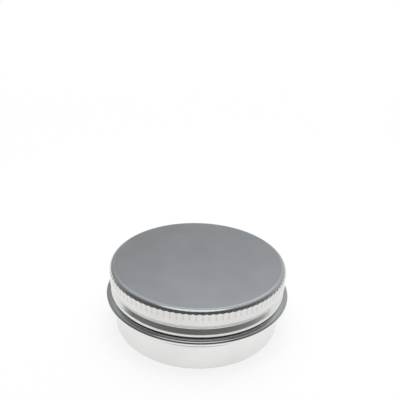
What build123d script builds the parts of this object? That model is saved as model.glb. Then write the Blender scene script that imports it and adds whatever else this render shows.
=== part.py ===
from build123d import *
from math import pi
import os

# Baby tooth box: a round screw-top tin pressed from aluminium sheet.
# Millimetres. The origin is the centre of the foot, +Z points up, and the
# tin stands closed, with its lid screwed down. Radii follow from the pot's
# wall and heights are stacked from the foot up.

# Sheet
sheet = 0.40              # thickness of the aluminium, pot and lid alike

# Pot: foot, wall and folded flange
body_radius = 30.7        # outside of the wall
body_height = 13.05       # foot to the underside of the folded flange
body_corner = 2.0         # outside radius between wall and foot
foot_width = 2.4          # flat ring that the pot stands on
panel_rise = 0.5          # base panel above the foot ring
panel_slope = 0.7         # run of the sloped step round the panel
flange_overhang = 3.3     # flange beyond the wall, the widest ring of the tin
flange_thickness = 1.5    # over both layers and the gap between them

# Pot: neck and curled mouth
neck_inset = 1.2          # outside of the neck, inside of the wall's outside
mouth_curl = 0.7          # outside radius of the mouth's inward curl
curl_drop = 0.5           # straight inner side of the curl

# Lid: rolled hem, lip, flared skirt, waist, band and ribs, from below
hem_clearance = 0.30      # hem above the flange
hem_curl = 0.50           # outside radius of the hem
hem_rise = 0.20           # straight inner side of the hem
hem_flare = 0.80          # hem beyond the waist
lip_rise = 0.95           # upright lip, from the middle of the hem
skirt_height = 1.45       # lip to the waist
waist_clearance = 1.35    # inside of the waist, off the neck
skirt_bend = 0.6          # outside bends of the skirt
shoulder_height = 1.95    # waist to the foot of the plain band
shoulder_overhang = 1.25  # plain band beyond the waist
band_length = 1.40        # plain band below the ribs
rib_count = 94
rib_length = 3.30
rib_inset = 0.03          # flat crests inside the plain band
rib_groove = 0.05         # between the roots of two ribs
rib_flank = 60            # degrees, sides of a rib
rib_end_rise = 0.50       # height of the slope on a rib's upper end
rib_end_share = 0.72      # of a rib's depth, cut by that slope
rib_ring_share = 0.25     # of the sheet, in the ring that carries the ribs
shell_inset = 0.22        # shell behind the ribs, inside the plain band

# Lid: rounded edge and top
lid_edge = 1.75           # outside radius of the top edge
rib_run_up = 0.65         # upper ends of the ribs, on the edge's round

# Liner disc in the lid
liner_thickness = 1.5
liner_clearance = 0.5     # liner inside the shell's wall
liner_bevel_inset = 0.45  # bevel under the edge's round, less than its radius
mouth_clearance = 0.05    # liner above the mouth

# Radii that follow
flange_radius = body_radius + flange_overhang
neck_radius = body_radius - neck_inset
waist_radius = neck_radius + waist_clearance + sheet
hem_radius = waist_radius + hem_flare
lid_radius = waist_radius + shoulder_overhang
shell_radius = lid_radius - shell_inset
step_radius = body_radius - body_corner - foot_width
fold_centre = flange_radius - flange_thickness / 2
body_inside = body_radius - sheet
neck_inside = neck_radius - sheet
shell_inside = shell_radius - sheet

# Heights that follow
flange_top = body_height + flange_thickness
hem_height = flange_top + hem_clearance + hem_curl
lip_height = hem_height + lip_rise
waist_height = lip_height + skirt_height
band_foot = waist_height + shoulder_height
rib_foot = band_foot + band_length
rib_top = rib_foot + rib_length
edge_foot = rib_top - rib_run_up
lid_top = edge_foot + lid_edge
liner_foot = lid_top - sheet - liner_thickness
mouth_top = liner_foot - mouth_clearance

# The pot is one sheet: base panel, foot ring, wall, a flange folded back on
# itself, neck, and a mouth curled inward so that no cut edge shows.
with BuildPart() as tin_base:
    with BuildSketch(Plane.XZ):
        with BuildLine():
            foot = Polyline(
                (0, panel_rise),
                (step_radius - panel_slope, panel_rise),
                (step_radius, 0),
                (body_radius - body_corner, 0),
            )
            corner = JernArc(foot @ 1, (1, 0), body_corner, 90)
            wall = Polyline(
                corner @ 1, (body_radius, body_height), (fold_centre, body_height)
            )
            fold = JernArc(wall @ 1, (1, 0), flange_thickness / 2, 180)
            neck = Polyline(
                fold @ 1,
                (neck_radius, flange_top),
                (neck_radius, mouth_top - mouth_curl),
            )
            curl = JernArc(neck @ 1, (0, 1), mouth_curl, 180)
            curl_foot = mouth_top - mouth_curl - curl_drop
            Polyline(
                curl @ 1,
                (neck_radius - 2 * mouth_curl, curl_foot),
                (neck_inside, curl_foot - 2 * mouth_curl + sheet),
                (neck_inside, flange_top - sheet),
                (fold_centre, flange_top - sheet),
                (fold_centre, body_height + sheet),
                (body_inside, body_height + sheet),
                (body_inside, body_corner),
                (body_radius - body_corner, sheet),
                (step_radius, sheet),
                (step_radius - panel_slope, panel_rise + sheet),
                (0, panel_rise + sheet),
                (0, panel_rise),
            )
        make_face()
    revolve(axis=Axis.Z)

tin_base.part.label = "tin_base"

# Below the ribs the lid's wall draws in to the waist and flares out again to an
# upright lip. Its inside lies one sheet behind its outside.
skirt_points = [
    (lid_radius, rib_foot),
    (lid_radius, band_foot),
    (waist_radius, waist_height),
    (hem_radius, lip_height),
    (hem_radius, hem_height),
]
skirt_inside = offset(
    Polyline(*skirt_points),
    amount=sheet,
    side=Side.RIGHT,
    kind=Kind.INTERSECTION,
    closed=False,
)
inner_band, inner_waist, inner_lip = [
    Vector(corner) for corner in skirt_inside.vertices().sort_by(Axis.Y)[-2:0:-1]
]

# The ribs of the grip band: wide flat crests with narrow grooves between them,
# cut square below and sloped off on top, where they run up on the edge's round.
# A thin ring in the middle of the sheet carries them, from its inside out.
ring_radius = shell_radius - sheet / 2
rib_root = ring_radius - rib_ring_share * sheet
rib_pitch = 2 * pi * rib_root / rib_count
rib_depth = lid_radius - rib_inset - rib_root
with BuildPart() as rib_band:
    with BuildSketch(Plane.XY.offset(rib_foot)):
        Circle(ring_radius)
        with PolarLocations(rib_root, rib_count):
            Trapezoid(
                rib_pitch - rib_groove,
                rib_depth,
                rib_flank,
                rotation=-90,
                align=(Align.CENTER, Align.MIN),
            )
        Circle(rib_root, mode=Mode.SUBTRACT)
    extrude(amount=rib_length)
    ring_top = faces().sort_by(Axis.Z)[-1]
    straight = ring_top.edges().filter_by(GeomType.LINE)
    crests = straight.group_by(SortBy.LENGTH, tol_digits=3)[-1]
    chamfer(
        crests,
        length=rib_end_share * rib_depth,
        length2=rib_end_rise,
        reference=ring_top,
    )

# The lid's sheet runs from the top disc over the rounded edge, down the shell
# behind the ribs, out to the plain band, in to the waist, down the skirt to the
# lip, and into a hem that is rolled inward.
with BuildPart() as lid_shell:
    with BuildSketch(Plane.XZ):
        with BuildLine():
            disc = Line((0, lid_top), (shell_radius - lid_edge, lid_top))
            edge = JernArc(disc @ 1, (1, 0), lid_edge, -90)
            Polyline(edge @ 1, (shell_radius, rib_foot), (lid_radius, rib_foot))
            skirt = FilletPolyline(*skirt_points, radius=skirt_bend)
            hem = JernArc(skirt @ 1, skirt % 1, hem_curl, -180)
            Polyline(
                hem @ 1,
                (hem_radius - 2 * hem_curl, hem_height + hem_rise),
                inner_lip,
                inner_waist,
                inner_band,
                (lid_radius - sheet, rib_foot - sheet),
                (shell_inside, rib_foot - sheet),
                (shell_inside, edge_foot),
                (shell_radius - lid_edge, lid_top - sheet),
                (0, lid_top - sheet),
                (0, lid_top),
            )
        make_face()
    revolve(axis=Axis.Z)
    add(rib_band.part)

lid_shell.part.label = "lid_shell"

# A foam disc fills the lid's top and seals on the curled mouth.
with BuildPart() as lid_liner:
    with BuildSketch(Plane.XY.offset(liner_foot)):
        Circle(shell_inside - liner_clearance)
    extrude(amount=liner_thickness)
    rim = edges().sort_by(Axis.Z)[-1]
    chamfer(rim, length=lid_edge - sheet - liner_bevel_inset)

lid_liner.part.label = "lid_liner"

os.makedirs("parts", exist_ok=True)
export_step(tin_base.part, "parts/tin_base.step")
export_step(lid_shell.part, "parts/lid_shell.step")
export_step(lid_liner.part, "parts/lid_liner.step")
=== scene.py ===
import math
import bpy
from mathutils import Matrix, Vector


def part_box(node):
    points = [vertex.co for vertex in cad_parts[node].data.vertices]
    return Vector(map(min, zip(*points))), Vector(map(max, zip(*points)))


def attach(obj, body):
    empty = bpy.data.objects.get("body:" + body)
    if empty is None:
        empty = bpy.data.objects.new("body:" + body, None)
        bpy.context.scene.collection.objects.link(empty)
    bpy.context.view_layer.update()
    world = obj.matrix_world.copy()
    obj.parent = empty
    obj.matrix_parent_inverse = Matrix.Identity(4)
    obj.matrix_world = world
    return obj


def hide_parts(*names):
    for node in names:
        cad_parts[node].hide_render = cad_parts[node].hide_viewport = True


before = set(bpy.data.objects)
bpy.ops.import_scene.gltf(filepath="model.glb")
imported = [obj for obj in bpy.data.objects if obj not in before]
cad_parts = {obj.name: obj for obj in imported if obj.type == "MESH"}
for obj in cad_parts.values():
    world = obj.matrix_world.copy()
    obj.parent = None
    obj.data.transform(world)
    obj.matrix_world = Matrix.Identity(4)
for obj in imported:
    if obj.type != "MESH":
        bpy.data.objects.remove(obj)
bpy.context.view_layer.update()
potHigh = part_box("tin_base")[1]
lidLow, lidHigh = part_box("lid_shell")
linerLow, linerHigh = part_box("lid_liner")
print("frame loaded:", ", ".join(sorted(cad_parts)))

mm = 0.001
sheet = 0.40 * mm  # thickness of the aluminium, pot and lid alike
samePoint = 0.001 * mm  # points nearer than this are one

# Sheet metal is drawn as a path of (radius, height) points and turned about Z


def arcPoints(centre, radius, start, end, step=10.0):
    # from start to end in degrees, in even parts of at most step degrees
    count = max(2, math.ceil(abs(end - start) / step))
    angles = [math.radians(start + (end - start) * i / count) for i in range(count + 1)]
    return [(centre[0] + radius * math.cos(a), centre[1] + radius * math.sin(a)) for a in angles]


def bentPath(corners):
    # corners are (radius, height, bend), and the ends have no bend
    path = [corners[0][:2]]
    for before, here, after in zip(corners, corners[1:], corners[2:]):
        corner, radius = Vector(here[:2]), here[2]
        back = (Vector(before[:2]) - corner).normalized()
        onward = (Vector(after[:2]) - corner).normalized()
        half = back.angle(onward) / 2
        centre = corner + (back + onward).normalized() * (radius / math.sin(half))
        first = corner + back * (radius / math.tan(half)) - centre
        swing = (2 * half - math.pi) * math.copysign(1, back.cross(onward))
        start = math.atan2(first.y, first.x)
        path += arcPoints(centre, radius, math.degrees(start), math.degrees(start + swing))
    return path + [corners[-1][:2]]


def joinedPath(*parts):
    points = [point for part in parts for point in part]
    path = [points[0]]
    for point in points[1:]:
        if math.dist(point, path[-1]) > samePoint:
            path.append(point)
    return path


def refinedPath(path, low, high, step):
    # adds points to the runs that lie between two heights
    finer = [path[0]]
    for a, b in zip(path, path[1:]):
        inside = min(a[1], b[1]) > low - samePoint and max(a[1], b[1]) < high + samePoint
        pieces = max(1, math.ceil(math.dist(a, b) / step)) if inside else 1
        for i in range(1, pieces + 1):
            share = i / pieces
            finer.append((a[0] + (b[0] - a[0]) * share, a[1] + (b[1] - a[1]) * share))
    return finer


def sheetRings(path, thickness):
    # the path is the outside, and the inside lies to its left,
    # or to its right if the thickness is below zero
    inner = []
    for before, here, after in zip(path[:1] + path, path, path[1:] + path[-1:]):
        along = (Vector(after) - Vector(before)).normalized()
        inner.append((max(here[0] - along.y * thickness, 0.0), here[1] + along.x * thickness))
    return [(*p, 0.0) for p in path] + [(*p, abs(thickness)) for p in inner[::-1]]


def smoothStep(value):
    value = min(max(value, 0.0), 1.0)
    return value * value * (3 - 2 * value)


def turnedPiece(name, rings, columns, lift=lambda *place: 0.0):
    # rings are (radius, height, depth), and lift pushes a point of a ring outward
    points, faces, starts = [], [], []
    for radius, height, depth in rings:
        starts.append(len(points))
        if radius < samePoint:
            points.append((0.0, 0.0, height))
            continue
        for k in range(columns):
            angle = math.tau * k / columns
            r = radius + lift(radius, height, depth, angle)
            points.append((r * math.cos(angle), r * math.sin(angle), height))
    ends = starts[1:] + [len(points)]
    for (a, aEnd), (b, bEnd) in zip(zip(starts, ends), zip(starts[1:], ends[1:])):
        for k in range(columns):
            n = (k + 1) % columns
            if aEnd - a == 1:
                faces.append((a, b + k, b + n))
            elif bEnd - b == 1:
                faces.append((a + k, b, a + n))
            else:
                faces.append((a + k, b + k, b + n, a + n))
    # a profile that runs the other way round has its faces turned, so that they look outward
    area = sum(a[0] * b[1] - b[0] * a[1] for a, b in zip(rings, rings[1:] + rings[:1]))
    if area > 0:
        faces = [face[::-1] for face in faces]
    mesh = bpy.data.meshes.new(name)
    mesh.from_pydata(points, [], faces)
    mesh.update()
    mesh.shade_smooth()
    piece = bpy.data.objects.new(name, mesh)
    bpy.context.scene.collection.objects.link(piece)
    return piece


# Pot

pot = {
    "wallRadius": 30.7 * mm,
    "wallHeight": 12.5 * mm,  # foot to the underside of the flange
    "wallCorner": 2.0 * mm,
    "footRing": 2.4 * mm,
    "footBend": 0.6 * mm,
    "panelRise": 0.5 * mm,
    "panelSlope": 0.7 * mm,
    "beadRadius": 19.0 * mm,  # of a shallow ring pressed into the base
    "beadWidth": 0.9 * mm,
    "beadDepth": 0.12 * mm,
    "drawIn": 0.18 * mm,  # narrowing of the wall below the flange
    "drawInHeight": 2.0 * mm,  # of the narrow part
    "drawInRun": 0.55 * mm,
    "drawInBend": 0.25 * mm,
    "flangeThickness": 1.8 * mm,
    "flangeBend": 0.6 * mm,
    "foldTurn": 78.0,  # the fold's round ends short of its top, and the flange rises from there
    "levelRun": 1.7 * mm,  # beside the neck, under the lid, the flange is level again
    "levelBend": 1.0 * mm,
    "neckInset": 1.2 * mm,  # neck inside the wall
    "neckRoot": 0.45 * mm,
    "curlRadius": 0.7 * mm,
    "curlTurn": 265.0,
    "columns": 360,
}
thread = {
    "foot": 17.0 * mm,  # height of the ridge where it starts
    "lead": 2.6 * mm,
    "turns": 1.45,
    "start": math.radians(200),
    "runOut": math.radians(22),
    "width": 1.7 * mm,
    "height": 0.72 * mm,
    "rowStep": 0.14 * mm,  # between the rows of the mesh on the neck
}
neckRadius = pot["wallRadius"] - pot["neckInset"]


def threadLift(height, angle):
    lift = 0.0
    swept = (angle - thread["start"]) % math.tau
    while swept < thread["turns"] * math.tau:
        middle = thread["foot"] + thread["lead"] * swept / math.tau
        away = abs(height - middle) / (thread["width"] / 2)
        fade = min(swept, thread["turns"] * math.tau - swept) / thread["runOut"]
        if away < 1:
            lift += thread["height"] * 0.5 * (1 + math.cos(math.pi * away)) * smoothStep(fade)
        swept += math.tau
    return lift


def makePot():
    wall, flangeFoot = pot["wallRadius"], pot["wallHeight"]
    fold = pot["flangeThickness"] / 2
    foldMiddle = (potHigh.x - fold, flangeFoot + fold)
    turn = math.radians(pot["foldTurn"])
    foldEnd = (foldMiddle[0] + fold * math.cos(turn), foldMiddle[1] + fold * math.sin(turn))
    levelRadius = neckRadius + pot["levelRun"]
    level = foldEnd[1] + (foldEnd[0] - levelRadius) / math.tan(turn)
    step = wall - pot["wallCorner"] - pot["footRing"]
    bead, beadHalf = pot["beadRadius"], pot["beadWidth"] / 2
    beadRise = pot["panelRise"] + pot["beadDepth"]
    narrow, narrowFoot = wall - pot["drawIn"], flangeFoot - pot["drawInHeight"]
    curlMiddle = (neckRadius - pot["curlRadius"], potHigh.z - pot["curlRadius"])
    path = joinedPath(
        bentPath([
            (0, pot["panelRise"], 0),
            (bead - 2 * beadHalf, pot["panelRise"], beadHalf),
            (bead - beadHalf, beadRise, beadHalf),
            (bead + beadHalf, beadRise, beadHalf),
            (bead + 2 * beadHalf, pot["panelRise"], beadHalf),
            (step - pot["panelSlope"], pot["panelRise"], pot["footBend"]),
            (step, 0, pot["footBend"]),
            (wall, 0, pot["wallCorner"]),
            (wall, narrowFoot - pot["drawInRun"], pot["drawInBend"]),
            (narrow, narrowFoot, pot["drawInBend"]),
            (narrow, flangeFoot, pot["flangeBend"]),
            (foldMiddle[0], flangeFoot, 0),
        ]),
        arcPoints(foldMiddle, fold, -90, pot["foldTurn"]),
        bentPath([
            (*foldEnd, 0),
            (levelRadius, level, pot["levelBend"]),
            (neckRadius, level, pot["neckRoot"]),
            (neckRadius, curlMiddle[1], 0),
        ]),
        arcPoints(curlMiddle, pot["curlRadius"], 0, pot["curlTurn"]),
    )
    neckFoot = level + pot["neckRoot"]
    path = refinedPath(path, neckFoot, curlMiddle[1], thread["rowStep"])
    # the neck's sheet, with half a sheet to spare on either side
    neckInner, neckOuter = neckRadius - 1.5 * sheet, neckRadius + 0.5 * sheet

    def lift(radius, height, depth, angle):
        onNeck = neckInner < radius < neckOuter and neckFoot < height < curlMiddle[1]
        return threadLift(height, angle) if onNeck else 0.0

    return turnedPiece("tinPot", sheetRings(path, sheet), pot["columns"], lift)


# Lid, measured down and in from the highest and widest part of its box

lid = {
    "edgeRadius": 1.75 * mm,
    "shellInset": 0.03 * mm,  # side of the rounded edge, inside the crests
    "ribCount": 94,
    "ribColumns": 12,  # columns of the mesh in one rib
    "ribDrop": 4.4 * mm,  # lid's top down to the foot of the ribs
    "ribReach": 1.2 * mm,  # how far in from the side the sheet follows the ribs
    "ribPower": 2.0,  # higher is a flatter crest and a narrower groove
    "crestSlope": 43.0,  # of a rib's upper end, as the elevation of its normal
    "grooveSlope": 17.0,
    "scallopPower": 1.2,  # from the one slope to the other
    "grooveDepth": 0.16 * mm,
    "grooveFoot": 1.2 * mm,  # in which a groove gets to its depth from below
    "grooveDrop": 1.5 * mm,  # lid's top down to the head of the grooves
    "grooveRun": 0.45 * mm,  # in which a groove gets to its depth from above
    "rowStep": 0.06 * mm,  # between the rows of the mesh at the ends of the ribs
    "ledgeBend": 0.1 * mm,
    "bandLength": 1.4 * mm,  # plain band below the ribs
    "bandBend": 0.4 * mm,
    "shoulderHeight": 1.58 * mm,  # plain band down to the waist
    "waistInset": 1.1 * mm,
    "waistBend": 0.6 * mm,
    "skirtHeight": 2.12 * mm,  # waist down to the lip
    "lipInset": 0.24 * mm,
    "hemInset": 0.20 * mm,
    "hemBend": 3.0 * mm,
    "hemCurl": 0.5 * mm,
    "hemTurn": 268.0,
}
edgeFoot = lidHigh.z - lid["edgeRadius"]
ribTop = edgeFoot + lid["edgeRadius"] * math.sin(math.radians(lid["crestSlope"]))
grooveHead = lidHigh.z - lid["grooveDrop"]
ribFoot = lidHigh.z - lid["ribDrop"]
shellRadius = lidHigh.x - lid["shellInset"]


def fromCrest(angle):
    # 0 on the crest of a rib, 1 in the middle of a groove
    phase = angle * lid["ribCount"] / math.tau + 0.5
    return abs(2 * (phase - math.floor(phase)) - 1)


def makeLid():
    ledge = ribFoot + lid["grooveFoot"]
    bandFoot = ribFoot - lid["bandLength"]
    waist = bandFoot - lid["shoulderHeight"]
    lip = waist - lid["skirtHeight"]
    hem = lidHigh.x - lid["hemInset"]
    curlMiddle = (hem - lid["hemCurl"], lidLow.z + lid["hemCurl"])
    path = joinedPath(
        bentPath([
            (0, lidHigh.z, 0),
            (shellRadius, lidHigh.z, lid["edgeRadius"]),
            (shellRadius, ledge, 0),
        ]),
        bentPath([
            (shellRadius, ledge, 0),
            (lidHigh.x, ribFoot, lid["ledgeBend"]),
            (lidHigh.x, bandFoot, lid["bandBend"]),
            (lidHigh.x - lid["waistInset"], waist, lid["waistBend"]),
            (lidHigh.x - lid["lipInset"], lip, lid["hemBend"]),
            (hem, curlMiddle[1], 0),
        ]),
        arcPoints(curlMiddle, lid["hemCurl"], 0, -lid["hemTurn"]),
    )
    rowStep = lid["rowStep"]
    path = refinedPath(path, grooveHead - lid["grooveRun"], ribTop + rowStep, rowStep)
    path = refinedPath(path, ribFoot, ledge, rowStep)
    steeper = lid["grooveSlope"] - lid["crestSlope"]

    def lift(radius, height, depth, angle):
        away = fromCrest(angle)
        slope = math.radians(lid["crestSlope"] + steeper * away ** lid["scallopPower"])
        top = edgeFoot + lid["edgeRadius"] * math.sin(slope)
        if not ribFoot < height < top or radius < shellRadius - lid["ribReach"]:
            return 0.0
        foot = smoothStep((height - ribFoot) / lid["grooveFoot"])
        head = smoothStep((grooveHead - height) / lid["grooveRun"])
        groove = lid["grooveDepth"] * away ** lid["ribPower"] * foot * head
        edgeAtTop = shellRadius - lid["edgeRadius"] * (1 - math.cos(slope))
        reach = edgeAtTop + (top - height) * math.tan(slope)
        return min(lidHigh.x - groove, reach) - depth - radius

    columns = lid["ribCount"] * lid["ribColumns"]
    return turnedPiece("screwLid", sheetRings(path, -sheet), columns, lift)


# Liner

liner = {
    "bevel": 0.75 * mm,
    "rimBend": 0.25 * mm,
    "printWidth": 2.0 * mm,  # of the ring that the pot's mouth marks on the foam
    "columns": 240,
}
printRadius = neckRadius - pot["curlRadius"]


def makeLiner():
    radius, low, high = linerHigh.x, linerLow.z, linerHigh.z
    path = bentPath([
        (0, low, 0),
        (radius, low, liner["rimBend"]),
        (radius, high - liner["bevel"], liner["rimBend"]),
        (radius - liner["bevel"], high, liner["rimBend"]),
        (0, high, 0),
    ])
    return turnedPiece("linerDisc", [(*point, 0.0) for point in path], liner["columns"])


# Shader helpers


def addNode(tree, kind, values=None, **settings):
    node = tree.nodes.new(kind)
    for key, value in settings.items():
        setattr(node, key, value)
    for key, value in (values or {}).items():
        if isinstance(value, bpy.types.NodeSocket):
            tree.links.new(value, node.inputs[key])
        else:
            node.inputs[key].default_value = value
    return node


def doMath(tree, operation, first, second=0.0):
    return addNode(tree, "ShaderNodeMath", {0: first, 1: second}, operation=operation).outputs[0]


def remap(tree, value, low, high, toLow=0.0, toHigh=1.0):
    values = {"Value": value, "From Min": low, "From Max": high, "To Min": toLow, "To Max": toHigh}
    return addNode(tree, "ShaderNodeMapRange", values, interpolation_type="SMOOTHSTEP").outputs[0]


def mixColours(tree, share, first, second, blend="MIX"):
    values = {0: share, 6: first, 7: second}
    return addNode(tree, "ShaderNodeMix", values, data_type="RGBA", blend_type=blend).outputs[2]


def newGroup(name, inputs, outputs):
    tree = bpy.data.node_groups.new(name, "ShaderNodeTree")
    for socket, value in inputs.items():
        made = tree.interface.new_socket(name=socket, in_out="INPUT", socket_type="NodeSocketFloat")
        made.default_value = value
    for socket in outputs:
        tree.interface.new_socket(name=socket, in_out="OUTPUT", socket_type="NodeSocketFloat")
    return tree, tree.nodes.new("NodeGroupInput"), tree.nodes.new("NodeGroupOutput")


def useGroup(tree, group, values=None):
    return addNode(tree, "ShaderNodeGroup", values, node_tree=group)


# Shared effects, each a group of its own

effects = {
    "lineScale": 0.05,
    "smudgeGrainRatio": 6.5,  # how much finer the grain in a smudge is than the smudges
    "smudgeGrainSpan": (0.35, 0.70),
    "smudgeEdge": 0.16,  # in the noise's own values, as are scratchWidth and scratchEdge
    "scratchRuns": ((0.6, 0.03), (2.3, 0.045)),  # direction in radians, and how far drawn out
    "scratchRatio": 9.0,  # how much finer the scratches are than the noise that breaks them up
    "scratchWidth": 0.012,
    "scratchRarity": 0.8,  # noise above which a scratch shows, at an Amount of 0
    "scratchAmount": 0.3,  # how far an Amount of 1 lowers that
    "scratchEdge": 0.1,
}


def makeTurnedPlace():
    # radius and height of a point of the tin
    tree, _, put = newGroup("turned place", {}, ["Radius", "Height"])
    place = addNode(tree, "ShaderNodeTexCoord").outputs["Object"]
    parts = addNode(tree, "ShaderNodeSeparateXYZ", {0: place})
    flat = addNode(tree, "ShaderNodeCombineXYZ", {0: parts.outputs[0], 1: parts.outputs[1]})
    length = addNode(tree, "ShaderNodeVectorMath", {0: flat.outputs[0]}, operation="LENGTH")
    tree.links.new(length.outputs["Value"], put.inputs["Radius"])
    tree.links.new(parts.outputs[2], put.inputs["Height"])
    return tree


def makeWindow():
    # 1 where a value lies between two others, with soft ends
    inputs = {"Value": 0.0, "Low": 0.0, "High": 1.0, "Softness": 0.1}
    tree, given, put = newGroup("soft window", inputs, ["Mask"])
    value, low = given.outputs["Value"], given.outputs["Low"]
    high, soft = given.outputs["High"], given.outputs["Softness"]
    rise = remap(tree, value, low, doMath(tree, "ADD", low, soft))
    fall = remap(tree, value, doMath(tree, "SUBTRACT", high, soft), high, 1.0, 0.0)
    tree.links.new(doMath(tree, "MULTIPLY", rise, fall), put.inputs["Mask"])
    return tree


def makeDrawLines():
    # faint lines that the press leaves along the wall, nearly the same at every height
    tree, given, put = newGroup("draw lines", {"Fineness": 900.0, "Run": 30.0}, ["Lines"])
    fineness = given.outputs["Fineness"]
    place = addNode(tree, "ShaderNodeTexCoord").outputs["Object"]
    flat = addNode(tree, "ShaderNodeVectorMath", {0: place, 1: (1, 1, 0)}, operation="MULTIPLY")
    around = addNode(tree, "ShaderNodeVectorMath", {0: flat.outputs[0]}, operation="NORMALIZE")
    parts = addNode(tree, "ShaderNodeSeparateXYZ", {0: around.outputs[0]})
    height = addNode(tree, "ShaderNodeSeparateXYZ", {0: place}).outputs[2]
    scaled = [doMath(tree, "MULTIPLY", part, fineness) for part in parts.outputs[:2]]
    run = doMath(tree, "MULTIPLY", height, given.outputs["Run"])
    drawn = addNode(tree, "ShaderNodeCombineXYZ", {0: scaled[0], 1: scaled[1], 2: run}).outputs[0]
    values = {"Vector": drawn, "Scale": effects["lineScale"], "Detail": 5.0}
    noise = addNode(tree, "ShaderNodeTexNoise", values)
    tree.links.new(noise.outputs[0], put.inputs["Lines"])
    return tree


def makeSatin():
    # fine even tooth of rolled and washed sheet, with a slight direction
    inputs = {"Fineness": 5200.0, "Stretch": 0.35}
    tree, given, put = newGroup("satin tooth", inputs, ["Tooth"])
    place = addNode(tree, "ShaderNodeTexCoord").outputs["Object"]
    parts = addNode(tree, "ShaderNodeSeparateXYZ", {0: place}).outputs
    along = doMath(tree, "MULTIPLY", parts[0], given.outputs["Stretch"])
    drawn = addNode(tree, "ShaderNodeCombineXYZ", {0: along, 1: parts[1], 2: parts[2]}).outputs[0]
    fineness = given.outputs["Fineness"]
    values = {"Vector": drawn, "Scale": fineness, "Detail": 3.0, "Roughness": 0.7}
    noise = addNode(tree, "ShaderNodeTexNoise", values)
    tree.links.new(noise.outputs[0], put.inputs["Tooth"])
    return tree


def makeHandling():
    # smudges and dulled patches where hands have held the tin
    inputs = {"Size": 90.0, "Threshold": 0.5}
    tree, given, put = newGroup("handling", inputs, ["Smudge", "Cloud"])
    size, threshold = given.outputs["Size"], given.outputs["Threshold"]
    place = addNode(tree, "ShaderNodeTexCoord").outputs["Object"]
    broad = addNode(tree, "ShaderNodeTexNoise", {"Vector": place, "Scale": size, "Detail": 3.0})
    fineSize = doMath(tree, "MULTIPLY", size, effects["smudgeGrainRatio"])
    fine = addNode(tree, "ShaderNodeTexNoise", {"Vector": place, "Scale": fineSize, "Detail": 4.0})
    edge = doMath(tree, "ADD", threshold, effects["smudgeEdge"])
    patch = remap(tree, broad.outputs[0], threshold, edge)
    grain = remap(tree, fine.outputs[0], *effects["smudgeGrainSpan"])
    tree.links.new(doMath(tree, "MULTIPLY", patch, grain), put.inputs["Smudge"])
    tree.links.new(broad.outputs[0], put.inputs["Cloud"])
    return tree


def makeScratches():
    # hair scratches in two directions, broken up by a coarse noise
    inputs = {"Spacing": 160.0, "Amount": 0.5}
    tree, given, put = newGroup("hair scratches", inputs, ["Scratch"])
    spacing = given.outputs["Spacing"]
    place = addNode(tree, "ShaderNodeTexCoord").outputs["Object"]
    lines = []
    for turn, stretch in effects["scratchRuns"]:
        values = {"Vector": place, "Rotation": (0, 0, turn), "Scale": (1, stretch, 1)}
        turned = addNode(tree, "ShaderNodeMapping", values).outputs[0]
        fineness = doMath(tree, "MULTIPLY", spacing, effects["scratchRatio"])
        noise = addNode(tree, "ShaderNodeTexNoise", {"Vector": turned, "Scale": fineness})
        away = doMath(tree, "ABSOLUTE", doMath(tree, "SUBTRACT", noise.outputs[0], 0.5))
        lines.append(remap(tree, away, 0.0, effects["scratchWidth"], 1.0, 0.0))
    broken = addNode(tree, "ShaderNodeTexNoise", {"Vector": place, "Scale": spacing}).outputs[0]
    lowered = doMath(tree, "MULTIPLY", given.outputs["Amount"], effects["scratchAmount"])
    least = doMath(tree, "SUBTRACT", effects["scratchRarity"], lowered)
    shown = remap(tree, broken, least, doMath(tree, "ADD", least, effects["scratchEdge"]))
    both = doMath(tree, "MAXIMUM", lines[0], lines[1])
    tree.links.new(doMath(tree, "MULTIPLY", both, shown), put.inputs["Scratch"])
    return tree


turnedPlace = makeTurnedPlace()
softWindow = makeWindow()
drawLines = makeDrawLines()
satinTooth = makeSatin()
handling = makeHandling()
hairScratches = makeScratches()
print("shared effects made:", len(bpy.data.node_groups))


def emptyTree(owner):
    # node tree of a new material or world, with nothing in it
    owner.use_nodes = True
    owner.node_tree.nodes.clear()
    return owner.node_tree


def newMaterial(name):
    material = bpy.data.materials.new(name)
    tree = emptyTree(material)
    shader = addNode(tree, "ShaderNodeBsdfPrincipled")
    addNode(tree, "ShaderNodeOutputMaterial", {0: shader.outputs[0]})
    return material, tree, shader


def grey(value, tint=(1.0, 1.0, 1.0)):
    return (value * tint[0], value * tint[1], value * tint[2], 1.0)


def inWindow(tree, value, low, high, softness):
    values = {"Value": value, "Low": low, "High": high, "Softness": softness}
    return useGroup(tree, softWindow, values).outputs["Mask"]


def clouded(tree, base, cloud, finish):
    # the colour a little darker and paler in broad patches
    level = remap(tree, cloud, *finish["cloudSpan"], *finish["cloudLevels"])
    tone = addNode(tree, "ShaderNodeCombineColor", {0: level, 1: level, 2: level}).outputs[0]
    return mixColours(tree, 1.0, base, tone, "MULTIPLY")


def addUp(tree, total, masks, weights):
    # each mask with a weight is added, times its weight
    for name, weight in weights.items():
        total = doMath(tree, "ADD", total, doMath(tree, "MULTIPLY", masks[name], weight))
    return total


def linkSurface(tree, shader, base, roughness, masks, finish):
    # the masks add to the roughness and to the bump by their weights in the finish
    tree.links.new(base, shader.inputs["Base Color"])
    roughness = addUp(tree, roughness, masks, finish["roughnessWeights"])
    tree.links.new(roughness, shader.inputs["Roughness"])
    height = addUp(tree, 0.0, masks, finish["bumpWeights"])
    values = {"Height": height, "Distance": finish["bumpDistance"], "Strength": 1.0}
    tree.links.new(addNode(tree, "ShaderNodeBump", values).outputs[0], shader.inputs["Normal"])


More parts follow.
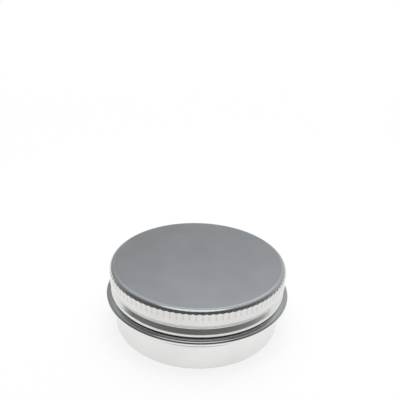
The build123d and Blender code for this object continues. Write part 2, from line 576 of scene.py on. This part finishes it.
def metalMasks(tree, finish):
    # what the shared effects put out with this finish's values
    marks = useGroup(tree, handling, finish["handling"]).outputs
    return {
        "lines": useGroup(tree, drawLines, finish["drawLines"]).outputs["Lines"],
        "tooth": useGroup(tree, satinTooth, finish["satinTooth"]).outputs["Tooth"],
        "smudge": marks["Smudge"],
        "cloud": marks["Cloud"],
        "scratch": useGroup(tree, hairScratches, finish["hairScratches"]).outputs["Scratch"],
    }


# Finishes

lidFinish = {
    # painted shade: the flat top is a darker, bluer copy of the same sheet's colour
    "top": grey(0.60, (0.94, 0.985, 1.04)),
    "topFade": (-0.10 * mm, 0.15 * mm),  # of the top's painted shade, across the rim of the flat disc
    # painted highlight: the rounded edge and the ribs' upper ends are a paler, bluer copy of the
    # side
    "edge": grey(0.76, (0.97, 1.0, 1.02)),
    "side": grey(0.71, (1.0, 0.995, 0.98)),
    # painted shade: a darker colour in the grooves between the ribs
    "soilAndShade": grey(0.30, (1.0, 0.97, 0.92)),
    "soilAndShadeShare": 0.35,
    "grooveShadeFade": 0.13 * mm,  # of the painted groove shade, from the bottom of a groove outward
    "grooveShadeEnds": 0.30 * mm,  # of the painted groove shade, along a groove
    "outsideFade": (-0.10 * mm, -0.05 * mm),  # from the bottom of a groove, to spare the inside
    "cloudSpan": (0.30, 0.70),
    "cloudLevels": (0.96, 1.03),
    "topRoughness": 0.26,
    "sideRoughness": 0.12,
    "roughnessWeights": {"smudge": 0.06, "tooth": 0.05, "scratch": -0.08},
    "bumpWeights": {"toothOnTop": 0.16, "lines": 0.10, "scratch": -0.10},
    "bumpDistance": 0.02 * mm,
    "drawLines": {"Fineness": 1400.0, "Run": 500.0},
    "satinTooth": {"Fineness": 5200.0},
    "handling": {"Size": 75.0, "Threshold": 0.52},
    "hairScratches": {"Spacing": 130.0, "Amount": 0.4},
}
potFinish = {
    "wall": grey(0.80, (1.0, 0.997, 0.98)),
    # painted shade: the flange's upper side is a darker, bluer copy of the wall's colour
    "flange": grey(0.63, (0.96, 1.0, 1.02)),
    "flangeFade": 0.30 * mm,  # either side of the wall
    "flangeShare": 0.55,  # of the flange's thickness, from where its painted shade sets in
    "flangeRise": 0.50 * mm,
    "inside": grey(0.72, (1.0, 1.0, 0.98)),
    "insideFade": (0.70, 0.30),  # depths in the wall's sheet, as shares of it
    "panelFade": 0.30 * mm,
    # on the pot, soil on the worn foot
    "soilAndShade": grey(0.35, (1.0, 0.97, 0.92)),
    "soilAndShadeShare": 0.25,
    "wornHeight": 0.25 * mm,  # of the foot
    "cloudSpan": (0.30, 0.70),
    "cloudLevels": (0.97, 1.02),
    "wallRoughness": 0.16,
    "insideRoughness": 0.33,
    "roughnessWeights": {"smudge": 0.07, "tooth": 0.04, "scratch": -0.08},
    "bumpWeights": {"lines": 0.14, "tooth": 0.04, "scratch": -0.10},
    "bumpDistance": 0.02 * mm,
    "drawLines": {"Fineness": 1100.0, "Run": 160.0},
    "satinTooth": {"Fineness": 4200.0},
    "handling": {"Size": 60.0, "Threshold": 0.50},
    "hairScratches": {"Spacing": 150.0, "Amount": 0.5},
}
foamFinish = {
    "foam": grey(0.80, (1.0, 0.995, 0.97)),
    "shade": grey(0.62, (1.0, 0.98, 0.94)),
    "cellScale": 2600.0,
    "cellSpan": (0.10, 0.70),
    "printShare": 0.35,  # of the shade, in the mouth's print
    "cloudSpan": (0.30, 0.70),
    "cloudLevels": (0.96, 1.03),
    "roughness": 0.85,
    "roughnessWeights": {"printed": -0.25},
    "bumpWeights": {"cells": 0.5, "cloud": 0.4},
    "bumpDistance": 0.06 * mm,
    "handling": {"Size": 110.0, "Threshold": 0.50},
}


def makeLidFinish():
    finish = lidFinish
    material, tree, shader = newMaterial("lidAluminium")
    shader.inputs["Metallic"].default_value = 1.0
    place = useGroup(tree, turnedPlace).outputs
    masks = metalMasks(tree, finish)
    topFrom, topTo = (shellRadius - lid["edgeRadius"] + fade for fade in finish["topFade"])
    onTop = remap(tree, place["Radius"], topFrom, topTo, 1.0, 0.0)
    masks["toothOnTop"] = doMath(tree, "MULTIPLY", masks["tooth"], onTop)
    # painted shade in the grooves between the ribs
    inRibs = inWindow(tree, place["Height"], ribFoot, grooveHead, finish["grooveShadeEnds"])
    bottom = lidHigh.x - lid["grooveDepth"]
    groove = remap(tree, place["Radius"], bottom, bottom + finish["grooveShadeFade"], 1.0, 0.0)
    sheetFrom, sheetTo = (bottom + fade for fade in finish["outsideFade"])
    outside = remap(tree, place["Radius"], sheetFrom, sheetTo)
    grooveShaded = doMath(tree, "MULTIPLY", doMath(tree, "MULTIPLY", inRibs, groove), outside)
    soilAndShadeShare = doMath(tree, "MULTIPLY", grooveShaded, finish["soilAndShadeShare"])
    # painted highlight on the rounded edge
    edgeHighlight = remap(tree, place["Height"], grooveHead, ribTop)
    base = mixColours(tree, edgeHighlight, finish["side"], finish["edge"])
    # painted shade on the flat top
    base = mixColours(tree, onTop, base, finish["top"])
    base = clouded(tree, base, masks["cloud"], finish)
    base = mixColours(tree, soilAndShadeShare, base, finish["soilAndShade"])
    roughness = remap(tree, onTop, 0.0, 1.0, finish["sideRoughness"], finish["topRoughness"])
    linkSurface(tree, shader, base, roughness, masks, finish)
    return material


def makePotFinish():
    finish, wall = potFinish, pot["wallRadius"]
    material, tree, shader = newMaterial("potAluminium")
    shader.inputs["Metallic"].default_value = 1.0
    place = useGroup(tree, turnedPlace).outputs
    masks = metalMasks(tree, finish)
    fade = finish["flangeFade"]
    beyondWall = remap(tree, place["Radius"], wall - fade, wall + fade)
    upperFoot = pot["wallHeight"] + pot["flangeThickness"] * finish["flangeShare"]
    upper = remap(tree, place["Height"], upperFoot, upperFoot + finish["flangeRise"])
    shadedFlangeTop = doMath(tree, "MULTIPLY", beyondWall, upper)
    innerSide, outerSide = (wall - share * sheet for share in finish["insideFade"])
    inner = remap(tree, place["Radius"], innerSide, outerSide, 1.0, 0.0)
    panelTo = pot["panelRise"] + finish["panelFade"]
    inside = doMath(tree, "MULTIPLY", inner, remap(tree, place["Height"], sheet, panelTo))
    foot = remap(tree, place["Height"], 0.0, finish["wornHeight"], 1.0, 0.0)
    worn = doMath(tree, "MULTIPLY", foot, masks["smudge"])
    soilAndShadeShare = doMath(tree, "MULTIPLY", worn, finish["soilAndShadeShare"])
    # painted shade on the flange's upper side
    base = mixColours(tree, shadedFlangeTop, finish["wall"], finish["flange"])
    base = mixColours(tree, inside, base, finish["inside"])
    base = clouded(tree, base, masks["cloud"], finish)
    base = mixColours(tree, soilAndShadeShare, base, finish["soilAndShade"])
    roughness = remap(tree, inside, 0.0, 1.0, finish["wallRoughness"], finish["insideRoughness"])
    linkSurface(tree, shader, base, roughness, masks, finish)
    return material


def makeFoamFinish():
    finish, half = foamFinish, liner["printWidth"] / 2
    material, tree, shader = newMaterial("whiteFoam")
    place = addNode(tree, "ShaderNodeTexCoord").outputs["Object"]
    values = {"Vector": place, "Scale": finish["cellScale"]}
    cells = addNode(tree, "ShaderNodeTexVoronoi", values).outputs[0]
    radius = useGroup(tree, turnedPlace).outputs["Radius"]
    printed = inWindow(tree, radius, printRadius - half, printRadius + half, half)
    cloud = useGroup(tree, handling, finish["handling"]).outputs["Cloud"]
    masks = {"cells": cells, "printed": printed, "cloud": cloud}
    shaded = remap(tree, cells, *finish["cellSpan"])
    base = mixColours(tree, shaded, finish["foam"], finish["shade"])
    printShare = doMath(tree, "MULTIPLY", printed, finish["printShare"])
    base = mixColours(tree, printShare, base, finish["shade"])
    base = clouded(tree, base, cloud, finish)
    linkSurface(tree, shader, base, finish["roughness"], masks, finish)
    return material


pieces = (
    (makePot, makePotFinish, "pot", "tin_base", "pot_aluminium"),
    (makeLid, makeLidFinish, "lid", "lid_shell", "lid_aluminium"),
    (makeLiner, makeFoamFinish, "liner", "lid_liner", "liner_foam"),
)
for makePiece, makeFinish, body, node, slot in pieces:
    piece = makePiece()
    piece.data.materials.append(makeFinish())
    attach(piece, body)
    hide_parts(node)
    print("piece made:", piece.name, len(piece.data.polygons), "faces")

# Studio: a pale floor, a room and a dark strip that the camera doesn't see, and soft lamps.
# Lengths are in metres.

studio = {
    "floorRadius": 3.0,
    "floorColumns": 96,
    "floorColour": 0.25,
    "floorGlow": 0.78,  # what the floor adds for camera, glossy and transmission rays
    "floorWhite": (0.12, 0.45),  # distances from the tin between which it turns plain white
    "roomRadius": 1.2,
    "roomRows": 60,
    "roomColumns": 120,
    "azimuthStep": 30,  # degrees between the levels of a row below
    "lowCardRadius": 0.12,  # dark strip on the floor round the camera's side
    "lowCardHeight": 0.03,
    "lowCardStep": 2,  # degrees between its columns
    "lampDistance": 0.9,
    "worldGlow": 0.42,
}
# Brightness of the room by elevation, a row each, at every azimuth step from -180.
# The camera's side is -90, the back is 90.
roomLevels = {
    0: (0.30, 0.22, 0.16, 0.15, 0.18, 0.26, 0.32, 0.44, 0.50, 0.39, 0.35, 0.33),
    12: (0.18, 0.15, 0.13, 0.12, 0.15, 0.20, 0.24, 0.42, 0.50, 0.39, 0.34, 0.31),
    22: (0.11, 0.10, 0.09, 0.08, 0.09, 0.13, 0.16, 0.44, 0.54, 0.42, 0.36, 0.31),
    32: (0.10, 0.10, 0.09, 0.08, 0.08, 0.08, 0.13, 0.42, 0.54, 0.43, 0.35, 0.30),
    40: (0.14, 0.11, 0.10, 0.09, 0.09, 0.09, 0.20, 0.45, 0.62, 0.61, 0.47, 0.34),
    52: (0.20, 0.13, 0.10, 0.08, 0.09, 0.20, 0.40, 0.54, 0.72, 0.74, 0.50, 0.38),
    58: (0.25, 0.20, 0.20, 0.20, 0.25, 0.38, 0.46, 0.52, 0.60, 0.62, 0.50, 0.38),
    66: (0.48,) * 12,
    90: (0.48,) * 12,
}
# the same for the dark strip, by azimuth
lowCardLevels = {
    -200: 0.60,
    -185: 0.30,
    -165: 0.17,
    -130: 0.18,
    -100: 0.16,
    -60: 0.18,
    -30: 0.26,
    -8: 0.42,
    12: 0.70,
}
# Angles in degrees, seen from the tin: polar is from straight up towards the camera, turn is
# about Z, and wide and deep are half of the lamp, across and along the view.
lamps = {
    "overhead": {
        "polar": 14.0, "turn": -6.0, "wide": 26.0, "deep": 20.0, "glow": 0.56, "mirrored": True,
    },
    "fill": {
        "polar": 0.0, "turn": 0.0, "wide": 32.0, "deep": 32.0, "glow": 1.7, "mirrored": False,
    },
}


def litMaterial(name):
    # glows at the level that each point holds
    material = bpy.data.materials.new(name)
    tree = emptyTree(material)
    level = addNode(tree, "ShaderNodeAttribute", attribute_name="level").outputs["Fac"]
    glow = addNode(tree, "ShaderNodeEmission", {"Strength": level})
    addNode(tree, "ShaderNodeOutputMaterial", {0: glow.outputs[0]})
    return material


def seenRays(tree):
    # 1 for camera, glossy and transmission rays
    path = addNode(tree, "ShaderNodeLightPath").outputs
    mirrored = doMath(tree, "MAXIMUM", path["Is Glossy Ray"], path["Is Transmission Ray"])
    return doMath(tree, "MAXIMUM", path["Is Camera Ray"], mirrored)


def stagePiece(name, points, faces, material):
    mesh = bpy.data.meshes.new(name)
    mesh.from_pydata(points, [], faces)
    mesh.materials.append(material)
    made = bpy.data.objects.new(name, mesh)
    bpy.context.scene.collection.objects.link(made)
    return made


def litGrid(name, points, levels, rows, columns, materialName):
    # rows of columns + 1 points, never seen by the camera
    faces = []
    for i in range(rows):
        for k in range(columns):
            a = i * (columns + 1) + k
            faces.append((a, a + 1, a + columns + 2, a + columns + 1))
    grid = stagePiece(name, points, faces, litMaterial(materialName))
    grid.data.attributes.new("level", "FLOAT", "POINT").data.foreach_set("value", levels)
    grid.visible_camera = False
    return grid


def neighbours(table, place):
    # keys on either side of a place, and the share of the way from one to the other
    below = max(key for key in table if key <= place)
    above = min(key for key in table if key >= place)
    return below, above, (place - below) / (above - below) if above > below else 0.0


def roomLevel(azimuth, elevation):
    below, above, rise = neighbours(roomLevels, elevation)
    across = (azimuth + 180) % 360 / studio["azimuthStep"]
    k, share = int(across), across - int(across)
    low, high = (
        levels[k] * (1 - share) + levels[(k + 1) % len(levels)] * share
        for levels in (roomLevels[below], roomLevels[above])
    )
    return low + (high - low) * rise


def makeRoom():
    # a dome over the tin
    rows, columns, radius = studio["roomRows"], studio["roomColumns"], studio["roomRadius"]
    points, levels = [], []
    for i in range(rows + 1):
        elevation = 90.0 * i / rows
        rise = math.radians(elevation)
        for k in range(columns + 1):
            angle = math.tau * k / columns
            flat = radius * math.cos(rise)
            points.append((flat * math.cos(angle), flat * math.sin(angle), radius * math.sin(rise)))
            levels.append(roomLevel(math.degrees(angle), elevation))
    litGrid("room", points, levels, rows, columns, "litRoom")


def makeLowCard():
    start, end = min(lowCardLevels), max(lowCardLevels)
    columns, radius = (end - start) // studio["lowCardStep"], studio["lowCardRadius"]
    points, levels = [], []
    for height in (0.0, studio["lowCardHeight"]):
        for k in range(columns + 1):
            azimuth = start + (end - start) * k / columns
            angle = math.radians(azimuth)
            points.append((radius * math.cos(angle), radius * math.sin(angle), height))
            below, above, share = neighbours(lowCardLevels, azimuth)
            levels.append(lowCardLevels[below] * (1 - share) + lowCardLevels[above] * share)
    card = litGrid("lowCard", points, levels, 1, columns, "darkCard")
    card.visible_diffuse = False
    card.visible_shadow = False


def makeFloor():
    columns, radius = studio["floorColumns"], studio["floorRadius"]
    angles = [math.tau * k / columns for k in range(columns)]
    points = [(radius * math.cos(a), radius * math.sin(a), 0) for a in angles]
    material = bpy.data.materials.new("paleFloor")
    tree = emptyTree(material)
    paint = addNode(tree, "ShaderNodeBsdfDiffuse", {"Color": grey(studio["floorColour"])})
    seen = seenRays(tree)
    lift = doMath(tree, "MULTIPLY", seen, studio["floorGlow"])
    glow = addNode(tree, "ShaderNodeEmission", {"Strength": lift})
    near = addNode(tree, "ShaderNodeAddShader", {0: paint.outputs[0], 1: glow.outputs[0]})
    distance = useGroup(tree, turnedPlace).outputs["Radius"]
    away = doMath(tree, "MULTIPLY", remap(tree, distance, *studio["floorWhite"]), seen)
    white = addNode(tree, "ShaderNodeEmission", {"Strength": 1.0})
    both = addNode(tree, "ShaderNodeMixShader", {0: away, 1: near.outputs[0], 2: white.outputs[0]})
    addNode(tree, "ShaderNodeOutputMaterial", {0: both.outputs[0]})
    stagePiece("floor", points, [tuple(range(columns))], material)


def makeLamps():
    distance = studio["lampDistance"]
    for name, lamp in lamps.items():
        wide, deep = (distance * math.tan(math.radians(lamp[side])) for side in ("wide", "deep"))
        polar, turn = math.radians(lamp["polar"]), math.radians(lamp["turn"])
        flat = math.sin(polar)
        towards = Vector((flat * math.sin(turn), -flat * math.cos(turn), math.cos(polar)))
        light = bpy.data.lights.new(name, "AREA")
        light.shape = "ELLIPSE"
        light.size, light.size_y = 2 * wide, 2 * deep
        light.energy = lamp["glow"] * math.pi**2 * wide * deep  # watts for that glow
        placed = bpy.data.objects.new(name, light)
        placed.location = towards * distance
        placed.rotation_euler = (-towards).to_track_quat("-Z", "Y").to_euler()
        placed.visible_glossy = lamp["mirrored"]
        placed.visible_camera = False
        bpy.context.scene.collection.objects.link(placed)


def makeWorld():
    world = bpy.data.worlds.new("studio")
    tree = emptyTree(world)
    values = {"Color": grey(1.0), "Strength": studio["worldGlow"]}
    fill = addNode(tree, "ShaderNodeBackground", values).outputs[0]
    white = addNode(tree, "ShaderNodeBackground", {"Color": grey(1.0), "Strength": 1.0}).outputs[0]
    both = addNode(tree, "ShaderNodeMixShader", {0: seenRays(tree), 1: fill, 2: white})
    addNode(tree, "ShaderNodeOutputWorld", {0: both.outputs[0]})
    bpy.context.scene.world = world


makeFloor()
makeRoom()
makeLowCard()
makeLamps()
makeWorld()
print("studio made")

# Camera, placed so that the middle of the lid's top lies on aimPixel

view = {
    "pictureWidth": 400,  # pixels
    "aimPixel": (198.2, 260.4),
    "focalPixels": 583.5,
    "distance": 217.1 * mm,  # to the middle of the lid's top
    "elevation": math.radians(30.04),
    "roll": math.radians(1.886),
    "clipStart": 5 * mm,
}


def makeCamera():
    target = Vector((0, 0, lidHigh.z))
    toCamera = Vector((0, -math.cos(view["elevation"]), math.sin(view["elevation"])))
    forward = -toCamera
    right = Matrix.Rotation(-view["roll"], 3, forward) @ Vector((1, 0, 0))
    up = right.cross(forward)
    half = view["pictureWidth"] / 2
    pan = math.atan((view["aimPixel"][0] - half) / view["focalPixels"])
    tilt = math.atan((view["aimPixel"][1] - half) / view["focalPixels"])
    panned = Matrix.Rotation(pan, 3, up)
    forward, right = panned @ forward, panned @ right
    tilted = Matrix.Rotation(tilt, 3, right)
    forward, up = tilted @ forward, tilted @ up
    camera = bpy.data.objects.new("camera", bpy.data.cameras.new("camera"))
    axes = Matrix((right, up, -forward)).transposed().to_4x4()
    camera.matrix_world = Matrix.Translation(target + toCamera * view["distance"]) @ axes
    camera.data.lens = view["focalPixels"] / view["pictureWidth"] * camera.data.sensor_width
    camera.data.clip_start = view["clipStart"]
    bpy.context.scene.collection.objects.link(camera)
    bpy.context.scene.camera = camera
    print("camera placed")


makeCamera()
bpy.context.scene.view_settings.view_transform = "Standard"
